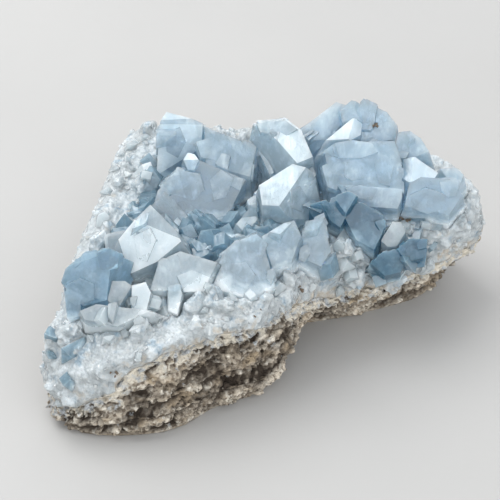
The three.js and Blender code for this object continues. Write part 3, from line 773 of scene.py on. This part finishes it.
def kin_crystals(host, count, size, rng):
    """Smaller crystals on a host, with the directions of the host's own facets, most of each sunk in."""
    facets = facet_list(host)
    at, normal = spots_on(host, count * 4, rng)
    made = []
    for spot, out in zip(at, normal):
        if len(made) >= count:
            break
        if out[2] < -0.1 or out @ shining > 0.9 or inside(rock_shell, spot, 1):
            continue
        long = size * (0.5 + 0.9 * rng.random() ** 2.5)
        faces = nearby_faces(facets, spot, 7 + long)
        if not any(out @ face > 0.97 for face in faces):
            continue
        planes, distances = kin_planes(faces, long, rng)
        faces_eye = out @ np.array(to_eye) > 0.35
        if faces_eye and rng.random() < 0.7:
            continue
        if faces_eye:
            raised = 0.12 + 0.14 * rng.random()
        else:
            raised = 0.2 + 0.5 * rng.random() * long**0.5
        corners = corners_within(planes, distances)
        if len(corners) < 6:
            continue
        top = distances[int(np.argmax(planes @ out))]
        if (corners @ out).max() - top < 0.5 and np.abs(corners).max() < 1.6 * long:
            centre = spot + out * (min(0.3 * long, raised) - top)
            made.append(hull_piece("kin", corners + centre))
    return made


GROWTH_TURN = (0, 0, 25)


def crystal_finish(name, body, frost, clear, gloss, absorb, density):
    """Watery celestite: clear at the tips, milky at the foot, and white where frost or cloud lies in it. The
    noted frost also paints highlights and shade on some facets.
    """
    f = Finish(name)
    cloud = f.level(f.mottle(5, 3, warp=0.6), 0.44, 0.72, 0, 0.24)
    streaks = f.level(f.mottle(1.3, 4, f.stretched((1, 0.14, 0.7), GROWTH_TURN)), 0.54, 0.74, 0, 0.15)
    sugar = f.reckon("MULTIPLY", f.mottle(2.2, 4), 0.5)
    foot = f.level(f.reckon("ADD", f.own("foot"), sugar), 0.65, 1.25, 0, 0.9)
    # The frost noted on facets is partly painted light: whiter facets stand for highlights, clearer ones for
    # shade.
    milky = f.reckon("ADD", f.own("frost"), f.reckon("MULTIPLY", f.own("shade"), 0.13))
    milky = f.reckon("ADD", milky, f.reckon("ADD", cloud, f.reckon("ADD", streaks, foot)))
    f.feed(Base_Color=f.blend(milky, body, frost), IOR=CELESTITE_IOR)
    f.feed(Roughness=f.level(milky, 0, 1, gloss, 0.34))
    f.feed(Transmission_Weight=f.level(milky, 0, 1, clear, 0.1))
    f.feed(Subsurface_Weight=1.0, Subsurface_Radius=(1.0, 1.0, 1.0), Subsurface_Scale=3 * MM)
    f.rough_up(f.leaning(5), 0.09)
    f.rough_up(f.leaning(1.9), 0.07)
    f.rough_up(f.mottle(3, 2), 0.2, 0.35)
    f.rough_up(f.mottle(0.6, 3, f.stretched((1, 0.12, 1), GROWTH_TURN)), 0.13, 0.8)
    volume = f.node("ShaderNodeVolumeAbsorption")
    volume.inputs["Color"].default_value = (*absorb, 1)
    volume.inputs["Density"].default_value = density
    f.links.new(volume.outputs[0], f.nodes["Material Output"].inputs["Volume"])
    return f.material


# The corners of each step in the view. The shaded ones lean away from the light.
GROWTH_STEPS = {
    "ridge_oval": [(343, 170), (348, 162), (358, 160), (366, 163), (369, 170), (364, 178), (352, 181),
                   (345, 177)],
    "ridge_upper": [(322, 152), (335, 143), (352, 140), (372, 143), (378, 152), (362, 158), (340, 158)],
    "ridge_left": [(322, 166), (332, 161), (341, 168), (337, 190), (328, 187)],
    "ridge_right": [(374, 162), (386, 154), (394, 166), (390, 186), (379, 183)],
    "ridge_low": [(345, 188), (360, 185), (378, 189), (372, 200), (352, 199)],
    "rear_peak_front": [(166, 134), (180, 128), (186, 142), (178, 158), (167, 152)],
    "rear_front_high": [(196, 142), (212, 137), (226, 146), (219, 161), (201, 157)],
    "rear_front_right": [(210, 180), (221, 170), (234, 178), (226, 197), (214, 200)],
    "centre_front_high": [(240, 240), (256, 234), (268, 244), (262, 258), (246, 256)],
    "centre_front_low": [(232, 264), (246, 262), (256, 276), (246, 290), (234, 282)],
    "tooth_side": [(291, 191), (300, 186), (308, 198), (302, 212), (292, 208)],
    "left_block": [(66, 285), (80, 278), (94, 284), (94, 300), (76, 306), (66, 298)],
    "fan_split": [(134, 236), (150, 228), (156, 240), (147, 262), (137, 258)],
    "slab": [(177, 276), (192, 270), (209, 277), (204, 291), (184, 292)],
}
SHADED_STEPS = {
    "back_block_top": [(257, 124), (270, 120), (285, 120), (297, 129), (286, 136), (270, 133), (260, 132)],
    "wing": [(410, 195), (426, 188), (444, 194), (446, 208), (428, 214), (412, 209)],
    "rear_front_low": [(160, 186), (178, 170), (200, 174), (204, 190), (188, 206), (166, 204)],
}
STEP_RISE = 0.3
STEP_ROOT = 2
STEP_SPREAD = 1.1
SHADED_LEAN = Vector((-0.05, -0.3, 0))


def middle_of(pixels):
    return tuple(sum(axis) / len(pixels) for axis in zip(*pixels))


def grown_under(name, pixels, top, face, root, spread):
    """A crystal below one face, given by its corners in the view, a point in its plane and its direction."""
    level = top.dot(face)
    corners = []
    for pixel in pixels:
        way = sight_line(pixel)
        corners.append(np.array(eye + way * ((level - eye.dot(face)) / way.dot(face))) / MM)
    centre = np.mean(corners, axis=0)
    return hull_piece(name, corners + [centre + spread * (corner - centre) + root for corner in corners])


def growth_steps(host, rng):
    """Low steps where a facet has not grown out evenly."""
    shell = shell_of([host])
    made = []
    for name, pixels in {**GROWTH_STEPS, **SHADED_STEPS}.items():
        point, normal = seen_on(shell, middle_of(pixels), behind=1)
        if point is None:
            continue
        lean = SHADED_LEAN if name in SHADED_STEPS else Vector(rng.normal(0, 0.05, 3))
        face = (normal + lean).normalized()
        top = point + STEP_RISE * MM * normal
        made.append(grown_under(name, pixels, top, face, -STEP_ROOT * np.array(face), STEP_SPREAD))
    return made


def veil_finish():
    """Healed cracks and films of tiny bubbles in the crystal: white wisps that thin out to nothing."""
    f = Finish("veil")
    wisp = f.level(f.mottle(1.8, 5, f.stretched((1, 1, 0.5)), 1.2), 0.42, 0.7)
    dense = f.reckon("MULTIPLY", wisp, f.level(f.own("reach"), 0.3, 1, 1, 0))
    f.feed(Base_Color=(0.86, 0.93, 0.97), Roughness=0.4, Specular_IOR_Level=0.2)
    f.feed(Alpha=f.reckon("MULTIPLY", dense, 0.75))
    return f.material


VEIL_GRID = 7
VEIL_HALF = 0.7
VEIL_MOST = 3.6


def veils_in(piece, count, rng):
    """Thin bent films inside a piece: their points, and how far each lies from its film's middle."""
    shell = shell_of([piece])
    at, normal = spots_on(piece, count * 5, rng)
    steps = np.linspace(-VEIL_HALF, VEIL_HALF, VEIL_GRID)
    u, v = (grid.ravel() for grid in np.meshgrid(steps, steps))
    patches = []
    for spot, out in zip(at, normal):
        place = spot - out * rng.uniform(1.2, 5)
        if len(patches) >= count or not inside(shell, place, 0) or inside(rock_shell, place, 0.5):
            continue
        half = min(VEIL_MOST, 0.95 * shell.find_nearest(Vector(place) * MM)[3] / MM)
        if half < 1:
            continue
        across = np.cross(out + rng.normal(0, 0.5, 3), rng.normal(0, 1, 3))
        across /= np.linalg.norm(across)
        along = np.cross(out + rng.normal(0, 0.6, 3), across)
        along /= np.linalg.norm(along)
        bend = rng.uniform(-0.3, 0.3, 2)
        rise = bend[0] * u**2 + bend[1] * u * v
        film = u[:, None] * across + v[:, None] * along + rise[:, None] * np.cross(across, along)
        patches.append((place + half * film, np.sqrt(u**2 + v**2) / VEIL_HALF))
    return patches


def crystal_veils(hosts):
    """The films of all hosts as one piece of open sheets, each host given with its number of films."""
    rng = np.random.default_rng(40)
    patches = [patch for host, count in hosts for patch in veils_in(host, count, rng)]
    squares = [row * VEIL_GRID + column for row in range(VEIL_GRID - 1) for column in range(VEIL_GRID - 1)]
    faces = []
    for i in range(len(patches)):
        for square in squares:
            first = i * VEIL_GRID**2 + square
            faces.append((first, first + 1, first + VEIL_GRID + 1, first + VEIL_GRID))
    points, reaches = (np.concatenate(column) for column in zip(*patches))
    piece = mesh_piece("crystal_veils", points, faces)
    note(piece, "reach", reaches)
    piece.data.shade_smooth()
    piece.data.materials.append(veil_finish())
    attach(piece, "root")


def edge_highlight_finish():
    """The worn edges of a crystal: finely chipped, and brighter than its faces, which partly paints the
    highlight an edge catches.
    """
    f = Finish("crystal_edge_highlight")
    f.feed(Base_Color=(0.74, 0.84, 0.91), Roughness=0.3, IOR=CELESTITE_IOR, Transmission_Weight=0.3)
    return f.material


edge_highlight_paint = edge_highlight_finish()


def crystal_group(node, finish, slot, kin, size, seed):
    """A group of large crystals with its growth steps, kin crystals and worn edges, which carry a painted
    highlight.
    """
    rng = np.random.default_rng(seed)
    piece = blank(node, node + "_grown")
    with Bench(piece) as work:
        bmesh.ops.remove_doubles(work, verts=work.verts, dist=0.001 * MM)
    joined_growth(piece, growth_steps(piece, rng) + kin_crystals(piece, kin, size, rng))
    clean_facets(piece)
    worn_edges_with_painted_highlight(piece, EDGE)
    facet_shades(piece, rng)
    frost_and_painted_light_facets(piece)
    fine_mesh(piece, FACET_STEP)
    note_nearness(piece, "foot", crust_shell, FOOT)
    piece.data.shade_flat()
    piece.data.materials.clear()
    piece.data.materials.append(finish)
    piece.data.materials.append(edge_highlight_paint)
    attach(piece, "root")
    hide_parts(node)
    return piece


sky = crystal_finish("celestite_sky", body=(0.59, 0.76, 0.87), frost=(0.79, 0.86, 0.90),
                     clear=0.76, gloss=0.05, absorb=(0.15, 0.60, 0.97), density=14)
sea = crystal_finish("celestite_sea", body=(0.62, 0.77, 0.85), frost=(0.79, 0.86, 0.89),
                     clear=0.76, gloss=0.05, absorb=(0.18, 0.62, 0.94), density=13)
frosted = crystal_finish("celestite_frost", body=(0.62, 0.73, 0.79), frost=(0.71, 0.77, 0.79),
                         clear=0.72, gloss=0.2, absorb=(0.2, 0.66, 0.95), density=9)
deep = crystal_finish("celestite_deep", body=(0.33, 0.52, 0.64), frost=(0.66, 0.77, 0.84),
                      clear=0.76, gloss=0.05, absorb=(0.12, 0.58, 0.86), density=32)
darkest = crystal_finish("celestite_dark", body=(0.10, 0.28, 0.41), frost=(0.54, 0.68, 0.76),
                         clear=0.74, gloss=0.04, absorb=(0.10, 0.55, 0.83), density=48)

# Each group's finish and slot, how many kin crystals it has and of what size, its seed and its veils.
LARGE_GROUPS = {
    "crystals_rear_left": (sky, "crystal", 30, 2.6, 21, 60),
    "crystals_centre_front": (sky, "crystal", 16, 2.4, 22, 40),
    "crystals_centre_back": (sea, "crystal", 20, 2.6, 23, 40),
    "crystals_right_ridge": (sky, "crystal", 40, 2.8, 24, 70),
    "crystal_front_prism": (sky, "crystal", 2, 1.2, 25, 2),
    "crystals_left_fan": (frosted, "crystal_frost", 10, 2.2, 26, 25),
    "crystals_front_cluster": (frosted, "crystal_frost", 8, 2, 27, 15),
    "crystal_pale_rod": (frosted, "crystal_frost", 3, 1.2, 28, 4),
    "crystals_left_block": (deep, "crystal_deep", 14, 2.2, 29, 20),
    "crystals_deep_blue": (darkest, "crystal_deep", 14, 2.2, 30, 16),
    "crystals_wing_dark": (darkest, "crystal_deep", 10, 1.8, 31, 10),
}
veiled = [(crystal_group(node, *facts), veils) for node, (*facts, veils) in LARGE_GROUPS.items()]
crystal_veils(veiled)

# The crust's larger crystals
# Single crystals of 1 to 7 mm stand out of the sugary crust: milky ones all over it, and watery blue ones
# close together in the hollow between the large groups. Those that touch have grown into one piece.
SPOTS_TRIED = 16000
RIM_CRYSTALS = 420
HOLLOW_CRYSTALS = 420
HOLLOW_LEFT = -34
HOLLOW_FRONT = -12
WING_LEFT = 11
WING_BACK = 5
SINGLE_STEP = 3
SINGLE_FOOT = 0.8

# A pixel that shows a crystal, and the crystal's size.
DARK_CRYSTALS = {
    "corner_upper": ((54, 334), 3.2),
    "corner_middle": ((70, 353), 2.6),
    "corner_lower": ((66, 378), 2.8),
    "corner_edge": ((50, 356), 2),
    "wing_wall_low": ((380, 280), 2.8),
    "wing_wall_right": ((408, 258), 3),
    "wing_wall_far": ((432, 248), 2.4),
    "notch": ((328, 262), 2.6),
    "slit_low": ((309, 205), 2.8),
}
PALE_CRYSTALS = {
    "block_foot": ((104, 313), 2.2),
    "hexagon_foot": ((129, 302), 2.4),
    "slab_left": ((153, 303), 2.6),
    "slab_corner": ((165, 313), 2),
    "cluster_foot": ((139, 322), 2.2),
    "slab_right": ((214, 300), 2.2),
    "front_foot": ((250, 300), 2.2),
    "prism_foot": ((278, 288), 2.6),
    "wing_root": ((332, 249), 2.6),
    "wing_root_low": ((344, 262), 2.4),
    "below_deep_blue": ((357, 256), 2.2),
    "wing_wall_pale": ((352, 276), 2.4),
    "wing_end_pale": ((424, 226), 2.2),
}
DARK_SUNK = 0.5
PALE_SUNK = 0.2


def crystal_body(place, axis, size, rng):
    """One crystal as a closed solid, its proportions a little its own."""
    corners, _ = unit_crystal(rng.random() < 0.65)
    corners = corners * size * rng.uniform((0.8, 0.7, 0.8), (1.3, 1.3, 1.4))
    axis = axis / np.linalg.norm(axis)
    side = np.cross(axis, rng.normal(0, 1, 3))
    side /= np.linalg.norm(side)
    base = np.stack([axis, side, np.cross(axis, side)])
    return hull_piece("single", place + corners @ base)


def grown_group(name, bodies, finish):
    """Single crystals as one piece, those that touch grown together."""
    piece = bodies[0]
    piece.name = name
    bpy.context.scene.collection.objects.link(piece)
    joined_growth(piece, bodies[1:])
    clean_facets(piece)
    held_in(piece)
    facet_shades(piece, np.random.default_rng(3))
    fine_mesh(piece, SINGLE_STEP)
    note_nearness(piece, "foot", crust_shell, SINGLE_FOOT)
    piece.data.shade_flat()
    piece.data.materials.append(finish)
    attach(piece, "root")


def free_spots(count, rng):
    """Places on the crust that nothing covers, with their normals and shares of the way to the rim."""
    at, normal = spots_on(crust, count, rng)
    for spot, out in zip(at, normal):
        if out[2] > -0.3 and not inside(rock_shell, spot, 1) and not inside(large_shell, spot, 0.05):
            yield spot, out, outward_share(spot)


def in_hollow(spot, share, rng):
    """Whether a place lies in the hollow between the large groups, whose edge isn't sharp."""
    near_middle = share < 0.6 + 0.16 * rng.random()
    on_wing_front = spot[0] > WING_LEFT and spot[1] < WING_BACK
    return near_middle and spot[0] > HOLLOW_LEFT and spot[1] > HOLLOW_FRONT and not on_wing_front


def crust_crystals():
    rng = np.random.default_rng(6)
    milky, blue = [], []
    for spot, out, share in free_spots(SPOTS_TRIED, rng):
        if in_hollow(spot, share, rng):
            kept, wanted = blue, HOLLOW_CRYSTALS
            size = 1.7 + 2.6 * rng.random() ** 1.8
        else:
            kept, wanted = milky, RIM_CRYSTALS
            size = (0.8 + 2.6 * rng.random() ** 2.5) * (2 - 1.65 * share)
        axis = out + rng.normal(0, 0.4, 3) + [0, 0, 0.25]
        if len(kept) < wanted:
            kept.append(crystal_body(spot - 0.3 * size * out, axis, size, rng))
    for kept, chosen, sunk in ((blue, DARK_CRYSTALS, DARK_SUNK), (milky, PALE_CRYSTALS, PALE_SUNK)):
        for pixel, size in chosen.values():
            spot = seen_at(pixel)
            out = np.array(crust_shell.find_nearest(spot)[1])
            axis = out + rng.normal(0, 0.25, 3)
            kept.append(crystal_body(np.array(spot) / MM - sunk * size * out, axis, size, rng))
    milk = crystal_finish("celestite_milk", body=(0.58, 0.67, 0.71), frost=(0.62, 0.67, 0.68),
                          clear=0.45, gloss=0.08, absorb=(0.3, 0.7, 0.92), density=10)
    teal = crystal_finish("celestite_teal", body=(0.28, 0.45, 0.56), frost=(0.60, 0.72, 0.79),
                          clear=0.74, gloss=0.05, absorb=(0.2, 0.66, 0.88), density=46)
    grown_group("druse_crust_crystals", milky, milk)
    grown_group("hollow_blue_crystals", blue, teal)


crust_crystals()

# The bright slivers
# Some small crystals of the hollow and of the ridge turn one face up into the light and shine white. Each
# is given by the corners of that face in the view, and runs down from it into what carries it.
SLIVERS = {
    "valley": [(258, 150), (262, 149), (274, 172), (270, 175)],
    "beside_tooth": [(236, 224), (255, 203), (257, 220), (245, 233)],
    "before_tooth": [(269, 232), (284, 223), (293, 221), (280, 234)],
    "pale_rod_neighbour": [(303, 232), (309, 222), (325, 217), (317, 229)],
    "ridge_stripe_low": [(300, 137), (312, 130), (314, 131), (303, 139)],
    "ridge_stripe_high": [(306, 138), (317, 131), (319, 132), (309, 140)],
    "ridge_right": [(396, 158), (399, 150), (409, 152), (406, 158)],
    "fan_top": [(132, 229), (140, 216), (149, 212), (146, 223)],
    "hollow_glint": [(414, 228), (416, 224), (420, 225), (419, 229)],
    "wing_glint": [(428, 230), (432, 224), (444, 223), (441, 229)],
}
SLIVER_LIFT = 0.5
SLIVER_ROOT = 4
SLIVER_SPREAD = 1.35
SLIVER_LEAN = 0.15


def sliver(name, pixels, carrier):
    """A small crystal whose bright face has the given corners in the view, above what carries it."""
    hit = carrier.ray_cast(eye, sight_line(middle_of(pixels)))[0]
    face = Vector(shining)
    top = hit + SLIVER_LIFT * MM * face
    root = -SLIVER_ROOT * (np.array(to_eye) * -SLIVER_LEAN + np.array(face))
    return grown_under(name, pixels, top, face, root, SLIVER_SPREAD)


def shell_so_far():
    """What the scene shows so far, without the veils."""
    unseen = {*solids, "crystal_veils"}
    pieces = bpy.context.scene.objects
    return shell_of([piece for piece in pieces if piece.type == "MESH" and piece.name not in unseen])


def bright_slivers():
    carrier = shell_so_far()
    bodies = [sliver(name, pixels, carrier) for name, pixels in SLIVERS.items()]
    grown_group("crystal_slivers", bodies, sky)


bright_slivers()

# The brown grains
# Here and there a few grains of iron-stained marl, about a millimetre across, are caught between the
# crystals. They sit half sunk where the view shows them.
GRAINS_AT = {
    "ridge_top": (374, 124),
    "below_roof": (398, 216),
    "below_roof_right": (404, 218),
    "crust_middle": (258, 310),
    "crust_right": (299, 288),
    "crust_left": (112, 372),
}
GRAINS_EACH = 6


def stain_finish():
    f = Finish("iron_stain")
    f.feed(Base_Color=f.blend(f.mottle(0.6, 3), (0.06, 0.045, 0.035), (0.19, 0.145, 0.10)), Roughness=0.8)
    f.rough_up(f.mottle(0.3, 3), 0.2)
    return f.material


def brown_grains():
    rng = np.random.default_rng(9)
    carrier = shell_so_far()
    bodies = []
    for pixel in GRAINS_AT.values():
        hit = np.array(carrier.ray_cast(eye, sight_line(pixel))[0]) / MM
        for _ in range(GRAINS_EACH):
            place = hit + rng.normal(0, 0.6, 3) * (1, 1, 0.3) - 0.15 * np.array(to_eye)
            bodies.append(crystal_body(place, rng.normal(0, 1, 3), rng.uniform(0.3, 0.55), rng))
    grown_group("stained_grains", bodies, stain_finish())


brown_grains()

# The studio
# The specimen lies on a plain pale table top. A large soft light hangs over it, a little to the left and
# behind, a low one stands at the back and a large weak one fills from the front.
FLOOR_SIDE = 4


def floor_finish():
    f = Finish("table_top")
    f.feed(Base_Color=f.blend(f.level(f.mottle(60, 4), 0.3, 0.7), (0.375, 0.37, 0.36), (0.39, 0.385, 0.375)))
    f.feed(Roughness=0.7)
    f.rough_up(f.mottle(2, 4), 0.1, 0.3)
    return f.material


bpy.ops.mesh.primitive_plane_add(size=FLOOR_SIDE)
floor = bpy.context.object
floor.name = "table_top"
floor.data.materials.append(floor_finish())


def soft_light(name, direction, distance, width, height, radiance):
    """A panel of light facing the specimen, in metres. Its power follows from its area and radiance."""
    data = bpy.data.lights.new(name, "AREA")
    data.shape = "RECTANGLE"
    data.size = width
    data.size_y = height
    data.energy = radiance * math.pi * width * height
    light = bpy.data.objects.new(name, data)
    out = Vector(direction).normalized()
    light.location = LOOK_AT + distance * out
    light.rotation_mode = "QUATERNION"
    light.rotation_quaternion = out.to_track_quat("Z", "Y")
    bpy.context.scene.collection.objects.link(light)


soft_light("overhead", (-0.4, 0.25, 0.88), distance=0.62, width=0.46, height=0.46, radiance=5.1)
soft_light("behind", (-0.1, 0.8, 0.6), distance=0.9, width=0.7, height=0.3, radiance=2)
soft_light("front", (0.25, -0.8, 0.4), distance=0.9, width=1.8, height=1.2, radiance=1.5)


def studio_air(low, high, colour):
    """Surroundings that brighten from low, in front and near the floor, to high, above and behind."""
    world = bpy.data.worlds.new("studio")
    bpy.context.scene.world = world
    world.use_nodes = True
    nodes, links = world.node_tree.nodes, world.node_tree.links
    way = nodes.new("ShaderNodeSeparateXYZ")
    links.new(nodes.new("ShaderNodeTexCoord").outputs["Generated"], way.inputs[0])
    height = nodes.new("ShaderNodeMath")
    height.operation = "MULTIPLY_ADD"
    links.new(way.outputs["Y"], height.inputs[0])
    height.inputs[1].default_value = 0.35
    links.new(way.outputs["Z"], height.inputs[2])
    strength = nodes.new("ShaderNodeMapRange")
    links.new(height.outputs[0], strength.inputs["Value"])
    for socket, number in zip(("From Min", "From Max", "To Min", "To Max"), (-0.3, 1.0, low, high)):
        strength.inputs[socket].default_value = number
    links.new(strength.outputs[0], nodes["Background"].inputs["Strength"])
    nodes["Background"].inputs["Color"].default_value = (*colour, 1)


studio_air(0.64, 1.0, (0.93, 0.96, 1.0))
bpy.context.scene.view_settings.view_transform = "Standard"

bpy.context.view_layer.update()
